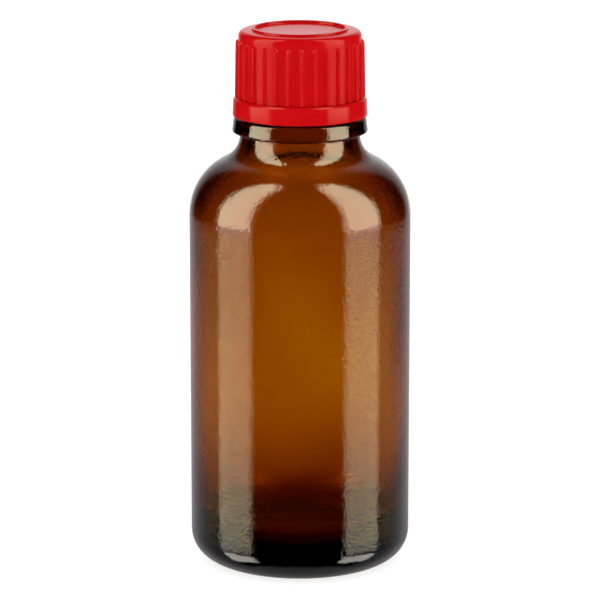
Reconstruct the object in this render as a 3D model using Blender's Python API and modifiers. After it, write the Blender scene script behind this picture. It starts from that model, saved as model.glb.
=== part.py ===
"""Small amber glass dropper bottle with a red tamper-evident screw cap.

Metres, +Z up. The origin is the centre of the standing plane, and the bottle's axis is Z.
The bottle, its dropper insert, the sealing disc, the screw cap and the tamper band are
separate closed bodies. Unscrewing the cap is a right-handed helix of THREAD_PITCH a turn.
"""

import math

import bmesh
import bpy
from mathutils import Matrix, Vector

MM = 0.001
GAP = 0.3 * MM  # left between pieces that rest on or slide past each other
SUNK = 0.3 * MM  # how deep a rib or ridge is sunk into the wall that carries it

# Bottle
BODY_RADIUS = 17.5 * MM
WALL = 1.6 * MM
HEEL_THICKENING = 1.7 * MM  # extra wall that the glass gains towards the base
THICKENING_Z = 30.0 * MM  # where the wall starts to thicken
HEEL_RADIUS = 4.7 * MM
PUSH_UP = 1.1 * MM  # how far the base is domed up at its centre
STANDING_RING_WIDTH = 1.3 * MM
FLOOR_Z = 5.3 * MM  # inner floor, above a thick moulded base
FLOOR_CORNER_RADIUS = 5.0 * MM
SHOULDER_Z = 56.45 * MM  # where the straight side ends
SHOULDER_RADIUS = 9.8 * MM
SHOULDER_TURN = 66  # degrees of round shoulder before it flares into the neck
NECK_RADIUS = 9.46 * MM
BORE_RADIUS = 5.8 * MM
RIM_Z = 81.6 * MM
RIM_ROUND = 0.6 * MM
BORE_ROUND = 0.5 * MM

# Neck finish, 18 mm
TRANSFER_BEAD_RADIUS = 10.71 * MM
TRANSFER_BEAD_Z = 70.0 * MM
TRANSFER_BEAD_TOP_Z = 71.85 * MM
TRANSFER_BEAD_ROUND = 0.85 * MM
TRANSFER_BEAD_SLOPE = 0.6 * MM  # by which the bead is narrower at its top
TAMPER_BEAD_RADIUS = 9.35 * MM
TAMPER_BEAD_Z = 74.05 * MM
TAMPER_BEAD_ROUND = 0.5 * MM
TAMPER_BEAD_HALF = 1.0 * MM  # half the height that it takes up on the neck
BETWEEN_BEADS = 8.3 * MM  # radius of the neck between its two beads
THREAD_CORE = 8.0 * MM
THREAD_CREST = 8.85 * MM
THREAD_PITCH = 3.0 * MM
THREAD_START_Z = 76.2 * MM
THREAD_START_TURN = 0.1
THREAD_TURNS = 1.4
THREAD_HALF_ROOT = 0.9 * MM
THREAD_HALF_TIP = 0.35 * MM

# Cap
CAP_TOP_Z = 85.7 * MM  # the flat top, outside its raised ring
CAP_BOTTOM_Z = 74.95 * MM  # the collar's foot, which drops inside the band's rim
CAP_COLLAR = 9.7 * MM
CAP_DRAFT = 0.03 * MM  # by which the collar is wider at its foot
CAP_EDGE_ROUND = 0.95 * MM
CAP_INNER = 9.1 * MM
CAP_CROWN_Z = 84.25 * MM  # underside of the crown
CAP_THREAD_CREST = 8.4 * MM
CAP_THREAD_DROP = 1.2 * MM  # the cap's ridge lies this far under the bottle's ridge
CAP_THREAD_LATER = 0.3  # turns by which it starts after the bottle's ridge
CAP_THREAD_TURNS = 1.25
CAP_THREAD_HALF_ROOT = 0.55 * MM
CAP_THREAD_HALF_TIP = 0.25 * MM
TOP_RING_INNER = 7.0 * MM
TOP_RING_OUTER = 7.6 * MM
TOP_RING_HEIGHT = 0.35 * MM
TOP_RING_ROUND = 0.12 * MM
RECESS_DEPTH = 0.1 * MM  # of the disc inside the ring
RIB_COUNT = 30
FIRST_RIB_TURN = 1.4  # degrees past the front
RIB_WIDTH = 0.8 * MM
RIB_CREST_SHARE = 0.72  # width of a rib's crest, as a share of its root
RIB_TOP_RADIUS = 10.17 * MM
RIB_BOTTOM_RADIUS = 10.29 * MM
RIB_TOP_Z = 84.1 * MM
RIB_BOTTOM_Z = 75.2 * MM

# Tamper band
BAND_BOTTOM_Z = 72.2 * MM
BAND_SHOULDER_Z = 74.7 * MM
BAND_STEP_Z = 74.75 * MM  # step that the collar's foot stands over
BAND_TOP_Z = 75.12 * MM
BAND_RADIUS = 10.65 * MM
BAND_TOP_RADIUS = 10.54 * MM
BAND_TOP_INNER = 9.8 * MM
BAND_INNER = 9.65 * MM
BAND_LIP = 9.0 * MM
BAND_TOP_ROUND = 0.4 * MM
BAND_FOOT_ROUND = 0.25 * MM
BRIDGE_COUNT = 10
FIRST_BRIDGE_TURN = 6  # degrees past +X
BRIDGE_HEIGHT = 0.15 * MM
BRIDGE_WIDTH = 0.5 * MM
BRIDGE_LENGTH = 0.3 * MM

# Dropper insert and sealing disc
INSERT_RADIUS = BORE_RADIUS - GAP
INSERT_FLANGE = 7.9 * MM
INSERT_FLANGE_Z = RIM_Z + GAP
INSERT_FLANGE_HEIGHT = 0.8 * MM
INSERT_LENGTH = 7.2 * MM
INSERT_WALL = 0.9 * MM
CUP_DEPTH = 2.2 * MM  # of the cup round the nozzle
NOZZLE_RADIUS = 1.6 * MM
NOZZLE_BORE = 0.6 * MM
AIR_TUBE_RADIUS = 1.1 * MM
AIR_TUBE_BORE = 0.45 * MM
AIR_TUBE_X = 3.2 * MM
AIR_TUBE_BOTTOM_Z = 71.6 * MM
DISC_RADIUS = CAP_INNER - GAP
DISC_THICKNESS = 1.0 * MM

GLASS_SEGMENTS = 48
CAP_SEGMENTS = 60
SMALL_SEGMENTS = 40
THREAD_STEPS_PER_TURN = 30


def clear_scene():
    for old in list(bpy.data.objects):
        bpy.data.objects.remove(old, do_unlink=True)


def new_collection(name):
    collection = bpy.data.collections.new(name)
    bpy.context.scene.collection.children.link(collection)
    return collection


def material(name, colour, roughness, transmission=0.0):
    made = bpy.data.materials.new(name)
    made.use_nodes = True
    made.diffuse_color = (*colour, 1.0)
    shader = made.node_tree.nodes["Principled BSDF"]
    shader.inputs["Base Color"].default_value = (*colour, 1.0)
    shader.inputs["Roughness"].default_value = roughness
    shader.inputs["Metallic"].default_value = 0.0
    shader.inputs["Transmission Weight"].default_value = transmission
    return made


def add_object(name, mesh, collection, finish=None):
    made = bpy.data.objects.new(name, mesh)
    collection.objects.link(made)
    if finish:
        mesh.materials.append(finish)
    return made


def arc(centre, radius, start, end, steps):
    """Points (r, z) on a circle about centre, from start to end degrees."""
    angles = (math.radians(start + (end - start) * i / steps) for i in range(steps + 1))
    return [(centre[0] + radius * math.cos(a), centre[1] + radius * math.sin(a)) for a in angles]


def turned(name, profile, segments, collection, finish=None, closed=False):
    """Turns the profile (r, z) once about Z. It runs down the piece's outer side."""
    mesh = bpy.data.meshes.new(name)
    points = [(r, 0.0, z) for r, z in profile]
    edges = [(i, i + 1) for i in range(len(points) - 1)]
    if closed:
        edges.append((len(points) - 1, 0))
    mesh.from_pydata(points, edges, [])
    made = add_object(name, mesh, collection, finish)
    screw = made.modifiers.new("turn", "SCREW")
    screw.axis = "Z"
    screw.angle = math.tau
    screw.steps = segments
    screw.render_steps = segments
    screw.use_merge_vertices = True
    screw.merge_threshold = 0.000001
    return made


def unite(piece, tool, operation="UNION"):
    """Joins the tool to the piece, or cuts it away, and keeps the tool as a hidden guide."""
    boolean = piece.modifiers.new(tool.name, "BOOLEAN")
    boolean.operation = operation
    boolean.solver = "EXACT"
    boolean.object = tool
    tool.hide_render = True
    tool.display_type = "WIRE"


def thread(name, core, crest, half_root, half_crest, start_z, start_turn, turns, collection):
    """A helical ridge from the core radius to the crest radius, which fades out at both ends.

    Each section is a trapezium whose root is sunk into the wall. Sections differ along the
    helix, because the ridge grows and fades over a twelfth of a turn.
    """
    sunk = SUNK if crest > core else -SUNK
    fade = 1 / 12
    steps = round(turns * THREAD_STEPS_PER_TURN)
    rings = []
    bm = bmesh.new()
    for i in range(steps + 1):
        turn = turns * i / steps
        grown = min(1.0, turn / fade, (turns - turn) / fade)
        scale = math.sin(math.pi / 2 * grown)
        middle = start_z + THREAD_PITCH * turn
        reach = core + (crest - core) * scale - sunk * 0.4 * (1 - scale)
        root, tip = half_root * (0.4 + 0.6 * scale), half_crest * (0.4 + 0.6 * scale)
        angle = math.tau * (start_turn + turn)
        section = [(core - sunk, -root), (reach, -tip), (reach, tip), (core - sunk, root)]
        if crest < core:
            section.reverse()
        rings.append(
            [
                bm.verts.new((r * math.cos(angle), r * math.sin(angle), middle + rise))
                for r, rise in section
            ]
        )
    for lower, upper in zip(rings, rings[1:]):
        for a in range(4):
            b = (a + 1) % 4
            bm.faces.new((lower[a], lower[b], upper[b], upper[a]))
    bm.faces.new(rings[0][::-1])
    bm.faces.new(rings[-1])
    bmesh.ops.recalc_face_normals(bm, faces=bm.faces)
    mesh = bpy.data.meshes.new(name)
    bm.to_mesh(mesh)
    bm.free()
    return add_object(name, mesh, collection)


def shoulder_curve(inset):
    """The round shoulder's centre, and the point where it ends, inset from the outer side."""
    turn = math.radians(SHOULDER_TURN)
    radius = SHOULDER_RADIUS - inset
    centre = (BODY_RADIUS - SHOULDER_RADIUS, SHOULDER_Z)
    return centre, (centre[0] + radius * math.cos(turn), centre[1] + radius * math.sin(turn))


def flare_curve(start, radius):
    """Radius and centre of the hollow curve that runs on from start and ends straight up."""
    turn = math.radians(SHOULDER_TURN)
    flare = (start[0] - radius) / (1 - math.cos(turn))
    return flare, (radius + flare, start[1] + flare * math.sin(turn))


def inner_radius(z):
    """The cavity's radius in the straight body: the wall thickens towards the base."""
    below = max(0.0, 1 - z / THICKENING_Z)
    return BODY_RADIUS - WALL - HEEL_THICKENING * below**2


def bottle_outside():
    """The outer side from the rim down to the push-up in the base."""
    shoulder_centre, shoulder_top = shoulder_curve(0.0)
    flare, flare_centre = flare_curve(shoulder_top, NECK_RADIUS)
    heel_centre = (BODY_RADIUS - HEEL_RADIUS, HEEL_RADIUS)
    ring = heel_centre[0] - STANDING_RING_WIDTH
    rim = arc((THREAD_CORE - RIM_ROUND, RIM_Z - RIM_ROUND), RIM_ROUND, 90, 0, 2)
    tamper_centre = (TAMPER_BEAD_RADIUS - TAMPER_BEAD_ROUND, TAMPER_BEAD_Z)
    tamper_bead = arc(tamper_centre, TAMPER_BEAD_ROUND, 70, -70, 3)
    transfer_centre = (TRANSFER_BEAD_RADIUS - TRANSFER_BEAD_ROUND, TRANSFER_BEAD_Z)
    transfer_bead = arc(transfer_centre, TRANSFER_BEAD_ROUND, 25, -75, 4)
    return [
        *rim,
        (THREAD_CORE, TAMPER_BEAD_Z + TAMPER_BEAD_HALF),
        *tamper_bead,
        (BETWEEN_BEADS, TAMPER_BEAD_Z - TAMPER_BEAD_HALF),
        (BETWEEN_BEADS, TRANSFER_BEAD_TOP_Z),
        (TRANSFER_BEAD_RADIUS - TRANSFER_BEAD_SLOPE, TRANSFER_BEAD_TOP_Z),
        *transfer_bead,
        *arc(flare_centre, flare, 180, 180 + SHOULDER_TURN, 4),
        *arc(shoulder_centre, SHOULDER_RADIUS, SHOULDER_TURN, 0, 7)[1:],
        *arc(heel_centre, HEEL_RADIUS, 0, -90, 5),
        (ring, 0.0),
        (ring * 0.6, PUSH_UP * 0.8),
        (0.0, PUSH_UP),
    ]


def bottle_inside():
    """The inner side from the middle of the floor up to the rim."""
    shoulder_centre, shoulder_top = shoulder_curve(WALL)
    flare, flare_centre = flare_curve(shoulder_top, BORE_RADIUS)
    corner_z = FLOOR_Z + FLOOR_CORNER_RADIUS
    corner_centre = (inner_radius(corner_z) - FLOOR_CORNER_RADIUS, corner_z)
    wall_steps = 3
    heights = [
        corner_z + (THICKENING_Z - corner_z) * i / wall_steps for i in range(1, wall_steps + 1)
    ]
    return [
        (0.0, FLOOR_Z),
        *arc(corner_centre, FLOOR_CORNER_RADIUS, -90, 0, 5),
        *[(inner_radius(z), z) for z in heights],
        *arc(shoulder_centre, SHOULDER_RADIUS - WALL, 0, SHOULDER_TURN, 6),
        *arc(flare_centre, flare, 180 + SHOULDER_TURN, 180, 5)[1:],
        *arc((BORE_RADIUS + BORE_ROUND, RIM_Z - BORE_ROUND), BORE_ROUND, 180, 90, 2),
    ]


def make_bottle(collection, guides):
    amber = material("amber_glass", (0.30, 0.085, 0.006), 0.04, transmission=1.0)
    profile = bottle_inside() + bottle_outside()
    bottle = turned("glass_bottle", profile, GLASS_SEGMENTS, collection, amber)
    ridge = thread(
        "bottle_thread",
        THREAD_CORE,
        THREAD_CREST,
        THREAD_HALF_ROOT,
        THREAD_HALF_TIP,
        THREAD_START_Z,
        THREAD_START_TURN,
        THREAD_TURNS,
        guides,
    )
    unite(bottle, ridge)
    return bottle


def make_rib(name, collection):
    """One grip rib at +X: a tapering bar with a rounded top, sunk into the cap's wall."""
    half = RIB_WIDTH / 2
    root = CAP_COLLAR - SUNK
    height = RIB_TOP_Z - half - RIB_BOTTOM_Z
    outline = [(-half, 0.0), (half, 0.0), *arc((0.0, height), half, 0, 180, 4)]
    bm = bmesh.new()
    flat = bm.faces.new([bm.verts.new((root, y, RIB_BOTTOM_Z + z)) for y, z in outline])
    raised = bmesh.ops.extrude_face_region(bm, geom=[flat])["geom"]
    for vertex in (v for v in raised if isinstance(v, bmesh.types.BMVert)):
        share = (vertex.co.z - RIB_BOTTOM_Z) / (RIB_TOP_Z - RIB_BOTTOM_Z)
        vertex.co.x = RIB_BOTTOM_RADIUS + (RIB_TOP_RADIUS - RIB_BOTTOM_RADIUS) * share
        vertex.co.y *= RIB_CREST_SHARE
        if share > 0.9:
            vertex.co.z -= (share - 0.9) * 2.0 * MM
    bmesh.ops.recalc_face_normals(bm, faces=bm.faces)
    mesh = bpy.data.meshes.new(name)
    bm.to_mesh(mesh)
    bm.free()
    return add_object(name, mesh, collection)


def around(name, pattern, count, start, collection):
    """One guide object that holds count copies of the pattern, evenly spaced about Z."""
    bm = bmesh.new()
    for i in range(count):
        copy = pattern.data.copy()
        copy.transform(Matrix.Rotation(start + math.tau * i / count, 4, "Z"))
        bm.from_mesh(copy)
        bpy.data.meshes.remove(copy)
    mesh = bpy.data.meshes.new(name)
    bm.to_mesh(mesh)
    bm.free()
    bpy.data.objects.remove(pattern, do_unlink=True)
    return add_object(name, mesh, collection)


def make_cap(collection, guides):
    red = material("red_polypropylene", (0.60, 0.010, 0.022), 0.22)
    disc_z = CAP_TOP_Z - RECESS_DEPTH
    ring_z = CAP_TOP_Z + TOP_RING_HEIGHT
    soft = TOP_RING_ROUND
    edge_centre = (CAP_COLLAR - CAP_EDGE_ROUND, CAP_TOP_Z - CAP_EDGE_ROUND)
    profile = [
        (0.0, disc_z),
        (TOP_RING_INNER, disc_z),
        (TOP_RING_INNER, ring_z - soft),
        (TOP_RING_INNER + soft, ring_z),
        (TOP_RING_OUTER - soft, ring_z),
        (TOP_RING_OUTER, ring_z - soft),
        (TOP_RING_OUTER, CAP_TOP_Z),
        *arc(edge_centre, CAP_EDGE_ROUND, 90, 0, 5),
        (CAP_COLLAR, RIB_TOP_Z),
        (CAP_COLLAR + CAP_DRAFT, CAP_BOTTOM_Z),
        (CAP_INNER, CAP_BOTTOM_Z),
        (CAP_INNER, CAP_CROWN_Z),
        (0.0, CAP_CROWN_Z),
    ]
    cap = turned("screw_cap", profile, CAP_SEGMENTS, collection, red)
    rib_turn = math.radians(FIRST_RIB_TURN - 90)
    ribs = around("cap_ribs", make_rib("rib", guides), RIB_COUNT, rib_turn, guides)
    unite(cap, ribs)
    ridge = thread(
        "cap_thread",
        CAP_INNER,
        CAP_THREAD_CREST,
        CAP_THREAD_HALF_ROOT,
        CAP_THREAD_HALF_TIP,
        THREAD_START_Z - CAP_THREAD_DROP + THREAD_PITCH * CAP_THREAD_LATER,
        THREAD_START_TURN + CAP_THREAD_LATER,
        CAP_THREAD_TURNS,
        guides,
    )
    unite(cap, ridge)
    return cap


def make_band(collection, guides):
    red = material("red_polypropylene_band", (0.60, 0.010, 0.022), 0.22)
    top_centre = (BAND_TOP_RADIUS - BAND_TOP_ROUND, BAND_SHOULDER_Z)
    foot_centre = (BAND_RADIUS - BAND_FOOT_ROUND, BAND_BOTTOM_Z + BAND_FOOT_ROUND)
    profile = [
        (BAND_INNER, BAND_STEP_Z),
        (BAND_TOP_INNER, BAND_STEP_Z),
        (BAND_TOP_INNER, BAND_TOP_Z),
        *arc(top_centre, BAND_TOP_ROUND, 75, 0, 3),
        *arc(foot_centre, BAND_FOOT_ROUND, 0, -90, 3),
        (BAND_INNER - 0.1 * MM, BAND_BOTTOM_Z),
        (BAND_LIP, BAND_BOTTOM_Z + 0.5 * MM),
        (BAND_LIP, TAMPER_BEAD_Z - 0.85 * MM),
        (BAND_INNER, TAMPER_BEAD_Z - 0.7 * MM),
    ]
    band = turned("tamper_band", profile, GLASS_SEGMENTS, collection, red, closed=True)
    bm = bmesh.new()
    bmesh.ops.create_cube(bm, size=1.0)
    size = Vector((BRIDGE_LENGTH, BRIDGE_WIDTH, 2 * BRIDGE_HEIGHT))
    bmesh.ops.scale(bm, vec=size, verts=bm.verts)
    centre = Vector((CAP_COLLAR, 0.0, BAND_STEP_Z))
    bmesh.ops.translate(bm, vec=centre, verts=bm.verts)
    mesh = bpy.data.meshes.new("bridge")
    bm.to_mesh(mesh)
    bm.free()
    stub = add_object("bridge", mesh, guides)
    stubs = around("band_bridges", stub, BRIDGE_COUNT, math.radians(FIRST_BRIDGE_TURN), guides)
    unite(band, stubs)
    return band


def make_insert(collection, guides):
    natural = material("natural_polyethylene", (0.80, 0.80, 0.78), 0.35)
    top = INSERT_FLANGE_Z + INSERT_FLANGE_HEIGHT
    floor = top - CUP_DEPTH
    bottom = top - INSERT_LENGTH
    bore = INSERT_RADIUS - INSERT_WALL
    profile = [
        (NOZZLE_BORE, top - 0.2 * MM),
        (NOZZLE_RADIUS - 0.3 * MM, top - 0.2 * MM),
        (NOZZLE_RADIUS, floor),
        (bore, floor),
        (bore + 0.2 * MM, top),
        (INSERT_FLANGE - 0.15 * MM, top),
        (INSERT_FLANGE, top - 0.2 * MM),
        (INSERT_FLANGE, INSERT_FLANGE_Z),
        (INSERT_RADIUS, INSERT_FLANGE_Z),
        (INSERT_RADIUS, bottom + 0.8 * MM),
        (INSERT_RADIUS - 0.4 * MM, bottom),
        (bore, bottom),
        (bore, floor - INSERT_WALL),
        (NOZZLE_BORE, floor - INSERT_WALL),
    ]
    insert = turned("dropper_insert", profile, SMALL_SEGMENTS, collection, natural, closed=True)
    for name, radius, low, high, operation in (
        ("air_tube", AIR_TUBE_RADIUS, AIR_TUBE_BOTTOM_Z, floor - 0.3 * MM, "UNION"),
        ("air_bore", AIR_TUBE_BORE, AIR_TUBE_BOTTOM_Z - MM, floor + MM, "DIFFERENCE"),
    ):
        bm = bmesh.new()
        bmesh.ops.create_cone(
            bm,
            cap_ends=True,
            segments=16,
            radius1=radius,
            radius2=radius,
            depth=high - low,
            matrix=Matrix.Translation((AIR_TUBE_X, 0.0, (low + high) / 2)),
        )
        mesh = bpy.data.meshes.new(name)
        bm.to_mesh(mesh)
        bm.free()
        unite(insert, add_object(name, mesh, guides), operation)
    return insert


def make_disc(collection):
    foam = material("white_foam", (0.85, 0.85, 0.83), 0.7)
    top = CAP_CROWN_Z - GAP
    profile = [
        (0.0, top),
        (DISC_RADIUS - 0.1 * MM, top),
        (DISC_RADIUS, top - 0.1 * MM),
        (DISC_RADIUS, top - DISC_THICKNESS + 0.1 * MM),
        (DISC_RADIUS - 0.1 * MM, top - DISC_THICKNESS),
        (0.0, top - DISC_THICKNESS),
    ]
    return turned("sealing_disc", profile, SMALL_SEGMENTS, collection, foam)


def main():
    clear_scene()
    parts = new_collection("dropper_bottle")
    guides = new_collection("guides")
    make_bottle(parts, guides)
    make_insert(parts, guides)
    make_disc(parts)
    make_cap(parts, guides)
    make_band(parts, guides)


main()
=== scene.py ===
"""Looks for the amber glass dropper bottle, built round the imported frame.

Glass, red closure, dropper insert and foam disc are turned from profiles with rounded
corners. Threads, ribs and mould seams are raised on the turned walls. Lengths are metres.
"""

import math

import bpy
import numpy as np
from mathutils import Matrix, Vector


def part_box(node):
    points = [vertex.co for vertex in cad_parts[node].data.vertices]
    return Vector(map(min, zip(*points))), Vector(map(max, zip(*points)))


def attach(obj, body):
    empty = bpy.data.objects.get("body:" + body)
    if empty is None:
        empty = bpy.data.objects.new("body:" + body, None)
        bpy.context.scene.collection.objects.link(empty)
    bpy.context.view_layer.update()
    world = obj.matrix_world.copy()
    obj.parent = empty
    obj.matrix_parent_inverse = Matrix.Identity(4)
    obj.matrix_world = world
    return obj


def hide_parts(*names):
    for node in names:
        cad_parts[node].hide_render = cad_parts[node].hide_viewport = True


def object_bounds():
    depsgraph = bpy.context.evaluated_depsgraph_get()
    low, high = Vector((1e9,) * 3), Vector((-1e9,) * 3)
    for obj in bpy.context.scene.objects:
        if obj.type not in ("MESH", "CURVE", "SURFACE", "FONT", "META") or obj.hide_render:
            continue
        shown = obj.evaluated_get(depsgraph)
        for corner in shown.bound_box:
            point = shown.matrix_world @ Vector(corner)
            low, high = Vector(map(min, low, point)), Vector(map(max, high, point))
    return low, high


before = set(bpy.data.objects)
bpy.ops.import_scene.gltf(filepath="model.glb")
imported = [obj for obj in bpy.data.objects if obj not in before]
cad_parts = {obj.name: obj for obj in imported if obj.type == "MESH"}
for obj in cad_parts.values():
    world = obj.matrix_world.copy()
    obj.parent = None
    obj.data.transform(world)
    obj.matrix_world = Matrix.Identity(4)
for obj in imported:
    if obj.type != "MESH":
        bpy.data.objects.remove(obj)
cad_low, cad_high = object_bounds()

MM = 0.001


# ---------------------------------------------------------------- sizes from the frame

glass_low, glass_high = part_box("glass_bottle")
cap_low, cap_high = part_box("screw_cap")
band_low, band_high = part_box("tamper_band")
insert_low, insert_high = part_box("dropper_insert")
disc_low, disc_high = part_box("sealing_disc")

BODY = glass_high.x
RIM = glass_high.z
TOP_RING_HEIGHT = 0.35 * MM
CAP_TOP = cap_high.z - TOP_RING_HEIGHT
CAP_FOOT = cap_low.z
BAND_FOOT = band_low.z
BAND_TOP = band_high.z
BAND_STEP = 74.75 * MM  # the step that the cap's foot stands over
BAND_OUT = band_high.x

# Glass walls
HEEL = 4.7 * MM
SHOULDER = 9.8 * MM
SHOULDER_FOOT = 56.45 * MM
SHOULDER_TURN = 63
NECK = 9.46 * MM
BORE = 5.8 * MM
FLOOR = 5.3 * MM
FLOOR_CORNER = 5.0 * MM
WALL = 1.6 * MM
BASE_THICKENING = 3.0 * MM
TOP_THICKENING = 0.36 * MM
BASE_THICKENING_FROM = 30 * MM
TOP_THICKENING_FROM = 28 * MM
THROAT = 7.1 * MM  # widest part of the neck's inside, under the finish
THROAT_Z = 69.5 * MM
BORE_FOOT_Z = 76.0 * MM
FLARE_SHARE = 0.86  # how much of the flare from shoulder to neck is one round curve
STANDING_RING = 1.3 * MM
PUSH_UP = 1.1 * MM
SEAM_HEIGHT = 0.03 * MM
SEAM_HALF = 0.22 * MM

# 18 mm neck finish
TRANSFER_BEAD = 10.71 * MM
TRANSFER_BEAD_Z = 70.0 * MM
TRANSFER_BEAD_TOP = TRANSFER_BEAD_Z + 1.85 * MM
TAMPER_BEAD = 9.35 * MM
TAMPER_BEAD_Z = 74.05 * MM
TAMPER_BEAD_HALF = 0.42 * MM
THREAD_CORE = 8.0 * MM
BETWEEN_BEADS = THREAD_CORE + 0.3 * MM
THREAD_CREST = 8.85 * MM
PITCH = 3.0 * MM
THREAD_Z = 76.2 * MM
THREAD_TURN = 0.1
THREAD_TURNS = 1.4

# Closure
COLLAR = 9.7 * MM
CAP_INNER = 9.1 * MM
CROWN = 84.25 * MM
CAP_THREAD_CREST = 8.4 * MM
CAP_THREAD_DROP = 1.2 * MM
CAP_THREAD_LATER = 0.3
CAP_THREAD_TURNS = 1.25
TOP_RING_INNER = 7.0 * MM
TOP_RING_OUTER = 7.6 * MM
RECESS_DEPTH = 0.1 * MM
RIBS = 30
RIB_HALF = 0.36 * MM
RIB_TOP = 84.1 * MM
RIB_FOOT = 75.2 * MM
RIB_DOME = 1.6  # length of a rib's domed end, in half widths
RIB_HEIGHT_TOP = 0.47 * MM
RIB_HEIGHT_FOOT = 0.58 * MM
FIRST_RIB = math.radians(-90 + 1.4)
BRIDGES = 10
FIRST_BRIDGE = math.radians(6)
BRIDGE_SIZE = 0.3 * MM, 0.5 * MM, 0.25 * MM
BAND_INNER = 9.65 * MM
BAND_LIP = 9.0 * MM
BAND_LEDGE = 9.8 * MM

# Dropper insert
PLUG = 5.5 * MM
PLUG_BORE = 4.6 * MM
PLUG_LENGTH = 7.2 * MM
FLANGE_DEPTH = 0.8 * MM
CUP_DEPTH = 2.2 * MM
NOZZLE_BORE = 0.6 * MM
AIR_TUBE = 1.1 * MM
AIR_TUBE_BORE = 0.45 * MM
AIR_TUBE_ASIDE = 3.2 * MM


# ---------------------------------------------------------------- shader maths


class Sum:
    """A shader socket that can be written into Python sums."""

    def __init__(self, finish, socket):
        self.finish, self.socket = finish, socket

    def maths(self, operation, *values):
        sockets = dict(enumerate((self, *values)))
        return self.finish.node("Math", {"operation": operation}, sockets)

    def __add__(self, other):
        return self.maths("ADD", other)

    def __mul__(self, other):
        return self.maths("MULTIPLY", other)

    def __sub__(self, other):
        return self.maths("SUBTRACT", other)

    def __rsub__(self, other):
        return (self * -1.0) + other

    def __truediv__(self, other):
        return self.maths("DIVIDE", other)

    __radd__ = __add__
    __rmul__ = __mul__


class Finish:
    """A material or world being made from nodes."""

    def __init__(self, owner, output="OutputMaterial"):
        self.owner = owner
        owner.use_nodes = True
        self.tree = owner.node_tree
        self.tree.nodes.clear()
        self.output = self.tree.nodes.new("ShaderNode" + output)

    def node(self, kind, settings=None, sockets=None, out=0):
        """Adds a node: its settings first, then the values and links of its sockets.

        Gives back the output named or numbered by out.
        """
        made = self.tree.nodes.new("ShaderNode" + kind)
        for name, value in (settings or {}).items():
            if name == "stops":
                self.set_stops(made.color_ramp, value)
            else:
                setattr(made, name, value)
        for name, value in (sockets or {}).items():
            self.join(made.inputs[name], value)
        return Sum(self, made.outputs[out])

    def set_stops(self, ramp, stops):
        while len(ramp.elements) < len(stops):
            ramp.elements.new(1.0)
        for element, (place, colour) in zip(ramp.elements, stops):
            element.position = place
            element.color = (*colour, 1.0)

    def join(self, socket, value):
        if isinstance(value, Sum):
            self.tree.links.new(value.socket, socket)
        elif isinstance(value, tuple) and len(value) == 3 and socket.type == "RGBA":
            socket.default_value = (*value, 1.0)
        else:
            socket.default_value = value

    def places(self):
        return self.node("TexCoord", out="Object")

    def noise(self, scale, detail=2.0, roughness=0.5, places=None, stretch=None):
        """Noise from 0 to 1, whose grains are about 1 / scale metres across."""
        places = places or self.places()
        if stretch:
            sockets = {0: places, 1: stretch}
            places = self.node("VectorMath", {"operation": "MULTIPLY"}, sockets)
        sockets = {"Vector": places, "Scale": scale, "Detail": detail, "Roughness": roughness}
        return self.node("TexNoise", None, sockets)

    def blend(self, share, first, second):
        sockets = {"Factor": share, 6: first, 7: second}
        return self.node("Mix", {"data_type": "RGBA"}, sockets, out=2)

    def multiplied(self, first, second):
        return self.node("VectorMath", {"operation": "MULTIPLY"}, {0: first, 1: second})

    def ramp(self, share, stops):
        return self.node("ValToRGB", {"stops": stops}, {"Fac": share})

    def bump(self, height, distance, strength=1.0):
        sockets = {"Height": height, "Distance": distance, "Strength": strength}
        return self.node("Bump", None, sockets)

    def surface(self, shader, volume=None):
        self.join(self.output.inputs["Surface"], shader)
        if volume:
            self.join(self.output.inputs["Volume"], volume)
        return self.owner


def amber_glass():
    """Clear amber glass: the colour is in its depth, and the skin has a moulded ripple."""
    f = Finish(bpy.data.materials.new("amber_glass"))
    ripple = f.noise(2300, 1.0)
    swell = f.noise(170, 2.0)
    normal = f.bump(ripple * 0.32 + swell * 0.4, 0.0001, 1.0)
    grease = f.noise(420, 3.0, 0.6)
    glass = f.node(
        "BsdfPrincipled",
        None,
        {
            "Base Color": f.blend(swell, (1.0, 0.985, 0.96), (1.0, 1.0, 1.0)),
            "Roughness": grease * 0.012,
            "IOR": 1.52,
            "Transmission Weight": 1.0,
            "Normal": normal,
        },
    )
    depth = f.node(
        "VolumeAbsorption", None, {"Color": (0.838, 0.676, 0.0), "Density": 2600.0}
    )
    return f.surface(glass, depth)


def red_polypropylene(name):
    """Glossy moulded red plastic, a little cloudy, with faint flow marks."""
    f = Finish(bpy.data.materials.new(name))
    cloud = f.noise(260, 3.0, 0.55)
    grain = f.noise(5200, 2.0, 0.6)
    flow = f.noise(900, 1.0, stretch=(1.0, 1.0, 0.25))
    plastic = f.node(
        "BsdfPrincipled",
        None,
        {
            "Base Color": f.blend(cloud, (0.54, 0.0006, 0.0020), (0.60, 0.0010, 0.0032)),
            "Roughness": 0.12 + 0.06 * cloud + 0.05 * grain,
            "IOR": 1.49,
            "Specular IOR Level": 0.11,
            "Normal": f.bump(flow * 0.5 + grain * 0.12, 0.00003, 0.5),
        },
    )
    return f.surface(plastic)


def natural_polyethylene():
    """Milky, slightly waxy plastic of the dropper insert."""
    f = Finish(bpy.data.materials.new("natural_polyethylene"))
    cloud = f.noise(500, 3.0, 0.6)
    plastic = f.node(
        "BsdfPrincipled",
        None,
        {
            "Base Color": f.blend(cloud, (0.78, 0.79, 0.76), (0.86, 0.86, 0.83)),
            "Roughness": 0.32 + 0.12 * cloud,
            "IOR": 1.51,
            "Subsurface Weight": 0.35,
            "Subsurface Scale": 0.0015,
            "Normal": f.bump(cloud, 0.00003, 0.4),
        },
    )
    return f.surface(plastic)


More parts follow.
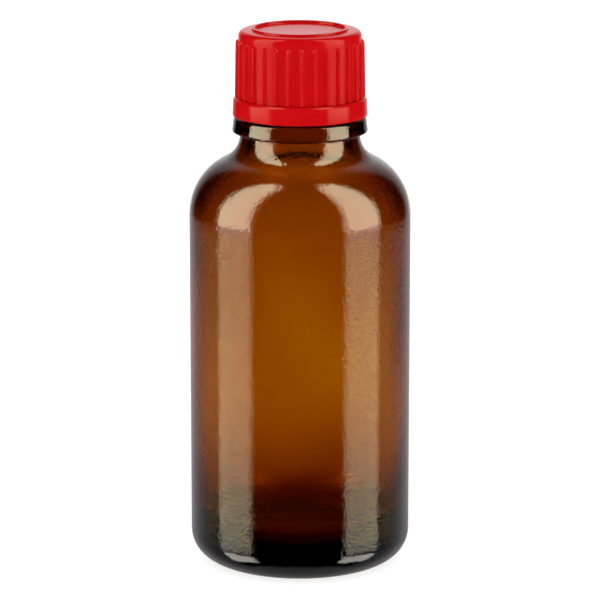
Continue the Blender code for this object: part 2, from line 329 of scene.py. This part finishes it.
def white_foam():
    """Closed-cell foam sheet with its fine cells showing."""
    f = Finish(bpy.data.materials.new("white_foam"))
    settings = {"feature": "F1"}
    cells = f.node("TexVoronoi", settings, {"Vector": f.places(), "Scale": 3200.0})
    foam = f.node(
        "BsdfPrincipled",
        None,
        {
            "Base Color": f.blend(cells, (0.90, 0.90, 0.88), (0.80, 0.80, 0.77)),
            "Roughness": 0.7 + 0.15 * cells,
            "Normal": f.bump(cells, 0.00008, 0.6),
        },
    )
    return f.surface(foam)


# ---------------------------------------------------------------- turned shapes


def rounded(corners, turn_per_step=9.0):
    """Points of a profile from its corners (r, z, fillet radius), each corner made round."""
    points = []
    for i, (r, z, fillet) in enumerate(corners):
        here = Vector((r, z))
        if fillet <= 0 or i in (0, len(corners) - 1):
            points.append(here)
            continue
        back = (Vector(corners[i - 1][:2]) - here).normalized()
        ahead = (Vector(corners[i + 1][:2]) - here).normalized()
        half = back.angle(ahead) / 2
        centre = here + (back + ahead).normalized() * fillet / math.sin(half)
        reach = fillet / math.tan(half)
        first, last = here + back * reach - centre, here + ahead * reach - centre
        sweep = math.pi - 2 * half
        steps = max(2, math.ceil(math.degrees(sweep) / turn_per_step))
        side = 1 if first.x * last.y - first.y * last.x > 0 else -1
        start = math.atan2(first.y, first.x)
        for step in range(steps + 1):
            angle = start + side * sweep * step / steps
            points.append(centre + fillet * Vector((math.cos(angle), math.sin(angle))))
    return [(p.x, p.y) for p in points]


def filled(points, step, low=-1.0, high=1.0, within=1.0):
    """The same profile with points no further apart than step, between the heights given
    and no further from the axis than within."""
    out = [points[0]]
    for (r0, z0), (r1, z1) in zip(points, points[1:]):
        inside = low <= (z0 + z1) / 2 <= high and max(r0, r1) <= within
        pieces = max(1, math.ceil(math.hypot(r1 - r0, z1 - z0) / step)) if inside else 1
        out += [
            (r0 + (r1 - r0) * i / pieces, z0 + (z1 - z0) * i / pieces)
            for i in range(1, pieces + 1)
        ]
    return out


def turned(name, profile, segments, raise_by=None, ring=False):
    """Turns a profile (r, z) about Z. raise_by(r, z, angle) moves the wall outwards.

    The profile runs down the outer side. It starts and ends on the axis unless it is a ring.
    """
    r = np.array([p[0] for p in profile])[:, None]
    z = np.array([p[1] for p in profile])[:, None] * np.ones((1, segments))
    angle = np.arange(segments)[None, :] * math.tau / segments
    radius = r * np.ones_like(angle)
    if raise_by is not None:
        radius = radius + raise_by(radius, z, angle * np.ones_like(z))
    grid = np.stack([radius * np.cos(angle), radius * np.sin(angle), z], axis=-1)
    rows = grid if ring else grid[1:-1]
    vertices = rows.reshape(-1, 3)
    column = np.arange(segments)
    following = (column + 1) % segments
    quads = []
    for i in range(len(rows) if ring else len(rows) - 1):
        here, after = i * segments, (i + 1) % len(rows) * segments
        strip = [here + column, after + column, after + following, here + following]
        quads.append(np.stack(strip, axis=1))
    faces = np.concatenate(quads).tolist()
    if not ring:
        first, last = len(vertices), len(vertices) + 1
        bottom = (len(rows) - 1) * segments
        vertices = np.concatenate([vertices, grid[[0, -1], 0] * (0, 0, 1)])
        faces += [[first, int(c), int(d)] for c, d in zip(column, following)]
        faces += [[last, bottom + int(d), bottom + int(c)] for c, d in zip(column, following)]
    mesh = bpy.data.meshes.new(name)
    mesh.from_pydata(vertices.tolist(), [], faces)
    mesh.shade_smooth()
    mesh.update()
    piece = bpy.data.objects.new(name, mesh)
    bpy.context.scene.collection.objects.link(piece)
    return piece


def eased(value):
    """Runs smoothly from 0 to 1 as the value does."""
    value = np.clip(value, 0, 1)
    return value * value * (3 - 2 * value)


def helix_ridge(z, angle, start_z, start_turn, turns, half_root, half_tip):
    """How far a helical ridge has grown, 0 to 1, at each point of a wall."""
    grown = np.zeros_like(z)
    fade = 1 / 12  # share of a turn over which the ridge's ends rise
    for lap in range(-1, math.ceil(turns) + 1):
        turn = angle / math.tau - start_turn + lap
        away = np.abs(z - start_z - PITCH * turn)
        ends = eased(np.minimum(turn, turns - turn) / fade)
        across = eased((half_root - away) / (half_root - half_tip))
        grown = np.maximum(grown, across * ends)
    return grown


# ---------------------------------------------------------------- pieces


def wall_at(z):
    """Thickness of the body's wall, which grows towards the base and the shoulder."""
    low = np.clip(1 - z / BASE_THICKENING_FROM, 0, 1)
    high = np.clip((z - TOP_THICKENING_FROM) / (SHOULDER_FOOT - TOP_THICKENING_FROM), 0, 1)
    return WALL + BASE_THICKENING * low**2.5 + TOP_THICKENING * eased(high)


def shoulder_corners(wide, narrow, radius):
    """Where the straight side, the tangent at SHOULDER_TURN degrees and the neck meet."""
    turn = math.radians(SHOULDER_TURN)
    centre_r = BODY - SHOULDER
    slope = Vector((-math.sin(turn), math.cos(turn)))
    touch = Vector((centre_r + radius * math.cos(turn), SHOULDER_FOOT + radius * math.sin(turn)))
    low = touch + slope * ((wide - touch.x) / slope.x)
    high = touch + slope * ((narrow - touch.x) / slope.x)
    flare = (touch.x - narrow) / (1 - math.cos(turn))
    return low, high, flare


def glass_outside():
    """Corners of the outer side, from the rim down to the middle of the push-up."""
    low, high, flare = shoulder_corners(BODY, NECK, SHOULDER)
    standing = BODY - HEEL
    return [
        (BORE, RIM, 0.5 * MM),
        (THREAD_CORE, RIM, 0.6 * MM),
        (THREAD_CORE, TAMPER_BEAD_Z + TAMPER_BEAD_HALF + 0.2 * MM, 0.3 * MM),
        (TAMPER_BEAD, TAMPER_BEAD_Z + TAMPER_BEAD_HALF, 0.25 * MM),
        (TAMPER_BEAD, TAMPER_BEAD_Z - TAMPER_BEAD_HALF, 0.25 * MM),
        (BETWEEN_BEADS, TAMPER_BEAD_Z - 0.8 * MM, 0.4 * MM),
        (BETWEEN_BEADS, TRANSFER_BEAD_TOP, 0.3 * MM),
        (TRANSFER_BEAD - 0.28 * MM, TRANSFER_BEAD_TOP, 0.25 * MM),
        (TRANSFER_BEAD, TRANSFER_BEAD_Z - 0.35 * MM, 0.28 * MM),
        (NECK, TRANSFER_BEAD_Z - 0.65 * MM, 0.25 * MM),
        (high.x, high.y, flare * FLARE_SHARE),
        (low.x, low.y, SHOULDER),
        (BODY, 0.0, HEEL),
        (standing - STANDING_RING, 0.0, 0.5 * MM),
        (7.0 * MM, PUSH_UP - 0.25 * MM, 8.0 * MM),
        (0.0, PUSH_UP, 0.0),
    ]


def swept(start, leave, arrive, end, steps):
    """Points of a smooth curve from start to end, drawn by its two handles."""
    share = np.linspace(0, 1, steps + 1)[:, None]
    start, leave, arrive, end = (np.array(point) for point in (start, leave, arrive, end))
    curve = start * (1 - share) ** 3 + 3 * leave * share * (1 - share) ** 2
    curve = curve + 3 * arrive * share**2 * (1 - share) + end * share**3
    return [(float(r), float(z)) for r, z in curve]


def glass_inside():
    """Points of the inner side, from the middle of the floor up to the bore."""
    side_foot, side_top = FLOOR + FLOOR_CORNER + 1 * MM, SHOULDER_FOOT - 1 * MM
    floor_wall = BODY - float(wall_at(np.array(FLOOR + FLOOR_CORNER)))
    wide = BODY - float(wall_at(np.array(SHOULDER_FOOT)))
    floor = [(0.0, FLOOR, 0), (floor_wall, FLOOR, FLOOR_CORNER), (floor_wall, side_foot, 0)]
    side = [(BODY - float(wall_at(z)), float(z)) for z in np.linspace(side_foot, side_top, 40)]
    dome = swept((wide, side_top), (wide, 63.9 * MM), (THROAT, 63.4 * MM), (THROAT, THROAT_Z), 40)
    middle = (THROAT_Z + BORE_FOOT_Z) / 2
    throat = swept(dome[-1], (THROAT, middle), (BORE, middle), (BORE, BORE_FOOT_Z), 14)
    return rounded(floor, 4)[:-1] + side + dome[1:] + throat[1:]


def glass_relief(radius, z, angle):
    """Thread, mould seams and uneven inner wall, as a change of radius."""
    outer = (radius > THREAD_CORE - 0.05 * MM) & (z > TAMPER_BEAD_Z + 0.6 * MM)
    ridge = helix_ridge(
        z, angle, THREAD_Z, THREAD_TURN, THREAD_TURNS, 0.9 * MM, 0.35 * MM
    )
    moved = np.where(outer, ridge * (THREAD_CREST - THREAD_CORE), 0.0)
    body_skin = (radius > BODY - 0.02 * MM) | ((z > SHOULDER_FOOT) & (radius > NECK - 0.1 * MM))
    from_seam = np.abs(np.cos(angle) ** 2 - 1) ** 0.5 * radius
    seam = SEAM_HEIGHT * np.exp(-((from_seam / SEAM_HALF) ** 2))
    moved += np.where(body_skin & (z < TRANSFER_BEAD_Z + 2 * MM), seam, 0.0)
    cavity = (radius < BODY - 1.2 * MM) & (z > FLOOR + 2 * MM) & (z < SHOULDER_FOOT - 1 * MM)
    in_wall = radius < BODY - wall_at(z) + 0.01 * MM
    sway = (
        0.10 * np.sin(2 * angle + 1.1 + 60 * z)
        + 0.07 * np.sin(3 * angle - 0.6 + 150 * z)
        + 0.05 * np.sin(5 * angle + 2.0 - 230 * z)
    )
    settle = eased((z - FLOOR - 2 * MM) / (8 * MM)) * eased((SHOULDER_FOOT - MM - z) / (8 * MM))
    moved += np.where(cavity & in_wall, sway * settle * MM, 0.0)
    return moved


def make_glass(finish):
    threaded = TAMPER_BEAD_Z + 0.5 * MM, RIM
    outside = filled(rounded(glass_outside(), 6), 0.13 * MM, *threaded)
    outside = filled(outside, 2.0 * MM)
    piece = turned("bottle_glass", glass_inside() + outside[1:], 240, glass_relief)
    piece.data.materials.append(finish)
    return piece


def cap_profile():
    """Its points crowd where the ribs begin and end, and along the thread inside."""
    top = CAP_TOP
    floor = top - RECESS_DEPTH
    ring = top + TOP_RING_HEIGHT
    edge = COLLAR - 0.02 * MM, top - 0.05 * MM
    foot = COLLAR + 0.03 * MM, CAP_FOOT
    rib_ends = [RIB_TOP + (0.2 - 0.1 * i) * MM for i in range(13)]
    rib_feet = [RIB_FOOT + above * MM for above in (0.10, 0.02, 0.0, -0.02, -0.04)]
    wall = [
        (float(np.interp(z, (foot[1], edge[1]), (foot[0], edge[0]))), z, 0)
        for z in rib_ends + rib_feet
    ]
    corners = [
        (0.0, floor, 0),
        (TOP_RING_INNER, floor, 0.1 * MM),
        (TOP_RING_INNER + 0.05 * MM, ring, 0.14 * MM),
        (TOP_RING_OUTER - 0.05 * MM, ring, 0.14 * MM),
        (TOP_RING_OUTER, top, 0.12 * MM),
        (*edge, 0.85 * MM),
        *wall,
        (*foot, 0.1 * MM),
        (CAP_INNER, CAP_FOOT, 0.1 * MM),
        (CAP_INNER, CROWN, 0.4 * MM),
        (0.0, CROWN, 0),
    ]
    thread_side = CAP_FOOT, CROWN - 0.3 * MM, CAP_INNER + 0.05 * MM
    return filled(rounded(corners, 12), 0.26 * MM, *thread_side)


def cap_relief(radius, z, angle):
    """Grip ribs with domed ends outside, and the thread's ridge inside.

    The outer wall sinks a little over the ridge, as thick mouldings do.
    """
    outside = radius > COLLAR - 0.15 * MM
    step = math.tau / RIBS
    across = np.abs((angle - FIRST_RIB + step / 2) % step - step / 2) * radius
    above = np.maximum(0.0, z - (RIB_TOP - RIB_DOME * RIB_HALF)) / RIB_DOME
    from_spine = np.hypot(across, above)
    share = (z - RIB_FOOT) / (RIB_TOP - RIB_FOOT)
    height = RIB_HEIGHT_FOOT + (RIB_HEIGHT_TOP - RIB_HEIGHT_FOOT) * share
    footed = eased((z - RIB_FOOT + 0.04 * MM) / (0.06 * MM))
    rib = footed * height * np.clip(1 - (from_spine / RIB_HALF) ** 2, 0, 1) ** 0.6
    inside = (radius < CAP_INNER + 0.05 * MM) & (radius > CAP_INNER - 0.05 * MM)
    ridge = helix_ridge(
        z,
        angle,
        THREAD_Z - CAP_THREAD_DROP + PITCH * CAP_THREAD_LATER,
        THREAD_TURN + CAP_THREAD_LATER,
        CAP_THREAD_TURNS,
        0.55 * MM,
        0.25 * MM,
    )
    sink = 0.012 * MM * ridge
    thread = ridge * (CAP_INNER - CAP_THREAD_CREST)
    return np.where(outside, rib - sink, 0.0) - np.where(inside, thread, 0.0)


def make_cap(finish):
    piece = turned("cap_shell", cap_profile(), RIBS * 24, cap_relief)
    piece.data.materials.append(finish)
    return piece


def make_band(finish):
    top, foot = BAND_TOP, BAND_FOOT
    corners = [
        (BAND_INNER, TAMPER_BEAD_Z + 0.2 * MM, 0),
        (BAND_INNER, BAND_STEP, 0.06 * MM),
        (BAND_LEDGE, BAND_STEP, 0.04 * MM),
        (BAND_LEDGE, top, 0.05 * MM),
        (BAND_LEDGE + 0.4 * MM, top - 0.04 * MM, 0.3 * MM),
        (BAND_OUT - 0.11 * MM, top - 0.42 * MM, 0.25 * MM),
        (BAND_OUT, foot, 0.18 * MM),
        (BAND_INNER - 0.1 * MM, foot, 0.1 * MM),
        (BAND_LIP, foot + 0.5 * MM, 0.1 * MM),
        (BAND_LIP, TAMPER_BEAD_Z - 0.85 * MM, 0.08 * MM),
        (BAND_INNER, TAMPER_BEAD_Z - 0.7 * MM, 0.08 * MM),
        (BAND_INNER, TAMPER_BEAD_Z, 0),
    ]
    piece = turned("band_ring", rounded(corners, 9), 300, ring=True)
    piece.data.materials.append(finish)
    return piece


def make_bridges(finish):
    """Stubs of the broken bridges, on the band's ledge."""
    stubs = []
    for i in range(BRIDGES):
        angle = FIRST_BRIDGE + math.tau * i / BRIDGES
        spot = COLLAR * math.cos(angle), COLLAR * math.sin(angle), BAND_STEP + 0.02 * MM
        bpy.ops.mesh.primitive_cube_add(size=1.0, location=spot, rotation=(0, 0, angle))
        stub = bpy.context.active_object
        stub.scale = BRIDGE_SIZE
        stubs.append(stub)
    bpy.ops.object.select_all(action="DESELECT")
    for stub in stubs:
        stub.select_set(True)
    bpy.context.view_layer.objects.active = stubs[0]
    bpy.ops.object.join()
    bpy.ops.object.transform_apply(location=True, rotation=True, scale=True)
    piece = bpy.context.active_object
    piece.name = "band_bridges"
    edge = piece.modifiers.new("edge", "BEVEL")
    edge.width, edge.segments = 0.05 * MM, 2
    piece.data.materials.append(finish)
    piece.data.shade_smooth()
    return piece


def make_insert(finish):
    """Plug with a flange, a shallow cup and the drip nozzle standing in its middle."""
    top, foot, flange = insert_high.z, insert_high.z - PLUG_LENGTH, insert_high.x
    under = top - FLANGE_DEPTH
    floor = top - CUP_DEPTH
    below = floor - 0.9 * MM
    corners = [
        (NOZZLE_BORE, top - 0.6 * MM, 0),
        (NOZZLE_BORE, top - 0.2 * MM, 0.08 * MM),
        (1.3 * MM, top - 0.2 * MM, 0.12 * MM),
        (1.6 * MM, floor, 0.25 * MM),
        (PLUG_BORE, floor, 0.3 * MM),
        (PLUG_BORE + 0.2 * MM, top, 0.2 * MM),
        (flange, top, 0.2 * MM),
        (flange, under, 0.15 * MM),
        (PLUG, under, 0.1 * MM),
        (PLUG, foot, 0.5 * MM),
        (PLUG_BORE, foot, 0.12 * MM),
        (PLUG_BORE, below, 0.3 * MM),
        (NOZZLE_BORE, below, 0.08 * MM),
        (NOZZLE_BORE, top - 0.8 * MM, 0),
    ]
    piece = turned("dropper_plug", rounded(corners, 12), 128, ring=True)
    piece.data.materials.append(finish)
    return piece


def make_air_tube(finish):
    low, high = insert_low.z, insert_high.z - 2.9 * MM
    corners = [
        (AIR_TUBE_BORE, high, 0),
        (AIR_TUBE, high, 0.1 * MM),
        (AIR_TUBE, low, 0.15 * MM),
        (AIR_TUBE_BORE, low, 0.1 * MM),
        (AIR_TUBE_BORE, high - 0.1 * MM, 0),
    ]
    piece = turned("dropper_air_tube", rounded(corners, 15), 40, ring=True)
    piece.data.transform(Matrix.Translation((AIR_TUBE_ASIDE, 0, 0)))
    piece.data.materials.append(finish)
    return piece


def make_disc(finish):
    wide = disc_high.x
    corners = [
        (0.0, disc_high.z, 0),
        (wide, disc_high.z, 0.12 * MM),
        (wide, disc_low.z, 0.12 * MM),
        (0.0, disc_low.z, 0),
    ]
    points = filled(rounded(corners, 15), 1.5 * MM)
    piece = turned("foam_disc", points, 96)
    piece.data.materials.append(finish)
    return piece


# ---------------------------------------------------------------- studio


def make_floor():
    bpy.ops.mesh.primitive_plane_add(size=6.0, location=(0, 0, cad_low.z - 0.05 * MM))
    floor = bpy.context.active_object
    floor.name = "studio_floor"
    f = Finish(bpy.data.materials.new("pale_floor"))
    tone = f.noise(9.0, 2.0)
    paint = f.node(
        "BsdfPrincipled",
        None,
        {
            "Base Color": f.blend(tone, (0.42, 0.42, 0.42), (0.44, 0.44, 0.44)),
            "Roughness": 0.9,
            "Specular IOR Level": 0.0,
            "Emission Color": (1.0, 1.0, 1.0),
            "Emission Strength": 0.80,
        },
    )
    floor.data.materials.append(f.surface(paint))
    floor.visible_glossy = False
    return floor


DARK, FULL = (0.0, 0.0, 0.0), (1.0, 1.0, 1.0)
BOX_TURN = 2.1 / 180  # how far the pair of soft boxes is turned to the right, in half turns

# Heights, in half turns from straight down
TABLE_EDGE = 0.5 - 11.90 / 180
WALL_FOOT = 0.5 - 10.35 / 180
FAR_TABLE = 0.4050
TABLE_END = 0.4130


def backdrop(f, rise, aside):
    """The table, grey near the camera and warm beyond the bottle, and the lit wall."""
    near_table = [
        (0.00, (0.40, 0.38, 0.38)),
        (0.14, (0.42, 0.40, 0.40)),
        (0.20, (0.50, 0.48, 0.49)),
        (0.27, (0.40, 0.39, 0.40)),
        (0.37, (0.27, 0.25, 0.26)),
        (0.49, (0.19, 0.18, 0.19)),
        (0.52, DARK),
    ]
    far_table = [
        (0.00, (0.56, 0.50, 0.50)),
        (0.14, (0.56, 0.50, 0.50)),
        (0.20, (0.50, 0.48, 0.49)),
        (0.27, (0.40, 0.39, 0.38)),
        (0.36, (0.55, 0.44, 0.27)),
        (0.42, (0.95, 0.70, 0.26)),
        (0.49, (0.80, 0.60, 0.24)),
        (0.52, DARK),
    ]
    wall = [
        (0.00, (1.02, 1.02, 1.04)),
        (0.06, (1.00, 1.00, 1.02)),
        (0.12, (0.55, 0.54, 0.55)),
        (0.17, (0.38, 0.36, 0.37)),
        (0.21, DARK),
    ]
    overhead = [(0.72, FULL), (0.86, DARK)]
    above = f.ramp(rise, [(TABLE_EDGE, DARK), (WALL_FOOT, FULL)])
    far = f.ramp(rise, [(FAR_TABLE, DARK), (TABLE_END, FULL)])
    table = f.blend(far, f.ramp(aside, near_table), f.ramp(aside, far_table))
    behind = f.blend(above, table, f.ramp(aside, wall))
    return f.multiplied(behind, f.ramp(rise, overhead))


def soft_boxes(f, rise, aside):
    """Two tall soft boxes, one on each side of the camera, and the table's image of them."""
    heights = [
        (0.235, DARK),
        (0.250, (5.5, 5.2, 4.6)),
        (0.345, (5.5, 5.2, 4.6)),
        (0.357, DARK),
        (0.374, DARK),
        (0.386, (2.4, 2.3, 1.95)),
        (0.4043, (2.4, 2.3, 1.95)),
        (0.4083, (3.1, 2.8, 2.05)),
        (0.4137, (4.6, 3.7, 2.0)),
        (0.4208, (5.2, 4.1, 1.6)),
        (0.4314, (4.7, 3.7, 1.8)),
        (TABLE_EDGE, (5.0, 4.0, 2.0)),
        (TABLE_EDGE + 0.0008, DARK),
        (WALL_FOOT, DARK),
        (WALL_FOOT + 0.0008, (2.8, 2.4, 2.7)),
        (0.4560, (2.8, 2.4, 2.7)),
        (0.4600, (8.8, 7.8, 5.2)),
        (0.900, (8.8, 7.8, 5.2)),
        (0.915, DARK),
    ]
    widths = [(0.486, DARK), (0.494, FULL), (0.714, FULL), (0.722, DARK)]
    return f.multiplied(f.ramp(rise, heights), f.ramp(aside, widths))


def make_light():
    """White all round, and for reflections a bright backdrop with two tall soft boxes."""
    world = bpy.data.worlds.new("studio")
    bpy.context.scene.world = world
    f = Finish(world, "OutputWorld")
    direction = f.node("TexCoord", out="Generated")
    split = f.node("SeparateXYZ", None, {0: direction}).socket.node
    x, y, z = (Sum(f, socket) for socket in split.outputs)
    bearing = x.maths("ARCTAN2", y) / math.pi  # 0 behind the bottle, 1 or -1 in front of it
    aside = (bearing - BOX_TURN).maths("ABSOLUTE")
    rise = z.maths("ARCSINE") / math.pi + 0.5  # 0 straight down, 1 straight up
    sockets = {0: backdrop(f, rise, aside), 1: soft_boxes(f, rise, aside)}
    around = f.node("VectorMath", {"operation": "ADD"}, sockets)
    under = f.ramp(rise, [(0.15, FULL), (0.19, DARK)])
    mirrored = f.blend(under, around, (0.40, 0.40, 0.40))
    colour = f.blend(f.node("LightPath", out="Is Glossy Ray"), FULL, mirrored)
    f.surface(f.node("Background", None, {"Color": colour, "Strength": 1.0}))


def make_camera():
    away, rise, aim = 569.65 * MM, math.radians(13.3), 42.17 * MM
    camera = bpy.data.objects.new("camera", bpy.data.cameras.new("camera"))
    bpy.context.scene.collection.objects.link(camera)
    camera.location = (0.0, -away * math.cos(rise), aim + away * math.sin(rise))
    camera.rotation_euler = (math.pi / 2 - rise, 0.0, 0.0)
    camera.data.lens = 214.5
    camera.data.sensor_width = 36.0
    camera.data.clip_start, camera.data.clip_end = 0.05, 20.0
    bpy.context.scene.camera = camera
    bpy.context.scene.view_settings.view_transform = "Standard"


def place(piece, body, slot, *nodes):
    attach(piece, body)
    if nodes:
        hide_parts(*nodes)


def main():
    red = red_polypropylene("red_polypropylene")
    natural = natural_polyethylene()
    place(make_glass(amber_glass()), "bottle", "amber_glass", "glass_bottle")
    place(make_insert(natural), "bottle", "natural_polyethylene", "dropper_insert")
    place(make_air_tube(natural), "bottle", "natural_polyethylene")
    place(make_disc(white_foam()), "seal", "white_foam", "sealing_disc")
    place(make_cap(red), "cap", "red_polypropylene", "screw_cap")
    place(make_band(red), "band", "red_polypropylene", "tamper_band")
    place(make_bridges(red), "band", "red_polypropylene")
    make_floor()
    make_light()
    make_camera()


main()
